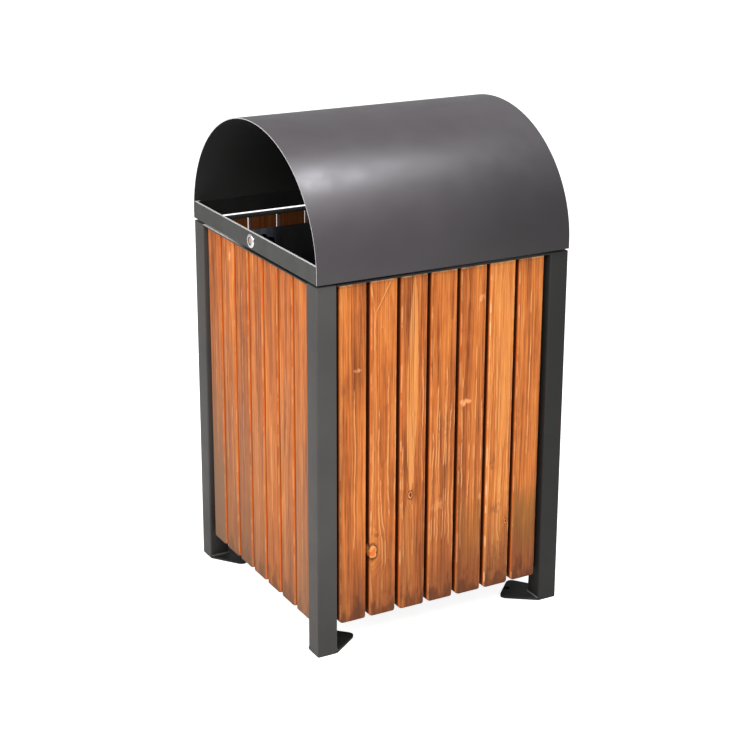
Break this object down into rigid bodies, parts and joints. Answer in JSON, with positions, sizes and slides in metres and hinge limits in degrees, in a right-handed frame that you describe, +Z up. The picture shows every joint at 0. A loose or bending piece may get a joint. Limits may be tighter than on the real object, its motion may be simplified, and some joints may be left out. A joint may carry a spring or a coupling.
{
  "type": "litter bin",
  "caption": "Square outdoor litter bin with timber-slatted sides on a steel frame, a lift-out liner, and a lockable hinged lid with a vaulted roof open at both ends.",
  "frame": {"origin": "on the ground at the centre of the square body", "axes": "+Z up; -Y towards the side with the lock; +X to the right when facing that side; the lid's hinges are on the +Y side"},
  "size_m": [0.503, 0.5113, 0.909],
  "materials": {
    "frame_paint": "dark grey fine-textured powder coat, satin",
    "roof_paint": "graphite metallic powder coat, semi-matt, with a soft sheen",
    "wood": "pine boards with an orange-brown translucent stain, satin",
    "liner_plastic": "black moulded plastic, lightly grained",
    "bail_wire": "zinc-plated wire",
    "hinge_steel": "zinc-plated pressed steel",
    "lock_chrome": "polished chrome plate",
    "lock_plug": "nickel-plated, lightly brushed",
    "rubber": "matt black"
  },
  "bodies": {
    "frame": {"post_front_right": "frame_paint", "post_rear_right": "frame_paint", "post_rear_left": "frame_paint", "post_front_left": "frame_paint", "top_bar_front": "frame_paint", "top_bar_right": "frame_paint", "top_bar_rear": "frame_paint", "top_bar_left": "frame_paint", "upper_slat_rail_front": "frame_paint", "upper_slat_rail_right": "frame_paint", "upper_slat_rail_rear": "frame_paint", "upper_slat_rail_left": "frame_paint", "base_tray": "frame_paint", "foot_front_right": "frame_paint", "foot_rear_right": "frame_paint", "foot_rear_left": "frame_paint", "foot_front_left": "frame_paint", "slat_front_1": "wood", "slat_front_2": "wood", "slat_front_3": "wood", "slat_front_4": "wood", "slat_front_5": "wood", "slat_front_6": "wood", "slat_front_7": "wood", "slat_right_1": "wood", "slat_right_2": "wood", "slat_right_3": "wood", "slat_right_4": "wood", "slat_right_5": "wood", "slat_right_6": "wood", "slat_right_7": "wood", "slat_rear_1": "wood", "slat_rear_2": "wood", "slat_rear_3": "wood", "slat_rear_4": "wood", "slat_rear_5": "wood", "slat_rear_6": "wood", "slat_rear_7": "wood", "slat_left_1": "wood", "slat_left_2": "wood", "slat_left_3": "wood", "slat_left_4": "wood", "slat_left_5": "wood", "slat_left_6": "wood", "slat_left_7": "wood", "buffer_left": "rubber", "buffer_right": "rubber", "hinge_body_leaf_left": "hinge_steel", "hinge_body_leaf_right": "hinge_steel", "hinge_pin_left": "hinge_steel", "hinge_pin_right": "hinge_steel"},
    "lid": {"lid_rim": "frame_paint", "roof": "roof_paint", "hinge_lid_leaf_left": "hinge_steel", "hinge_lid_leaf_right": "hinge_steel", "lock_housing": "lock_chrome", "lock_nut": "hinge_steel"},
    "lock_cam": {"lock_cam": "lock_plug"},
    "liner": {"liner": "liner_plastic"},
    "liner_bail": {"liner_bail": "bail_wire"}
  },
  "joints": [
    {"name": "lid_hinge", "type": "hinge", "parent": "frame", "child": "lid", "pos_m": [0, 0.2543, 0.68], "axis": [-1, 0, 0], "range_deg": [0, 100]},
    {"name": "lock_turn", "type": "hinge", "parent": "lid", "child": "lock_cam", "pos_m": [0, -0.25, 0.696], "axis": [0, 1, 0], "range_deg": [0, 90]},
    {"name": "liner_lift", "type": "slide", "parent": "frame", "child": "liner", "axis": [0, 0, 1], "range_m": [0, 0.12]},
    {"name": "bail_swing", "type": "hinge", "parent": "liner", "child": "liner_bail", "pos_m": [0, 0, 0.64], "axis": [0, 1, 0], "range_deg": [0, 180]}
  ]
}
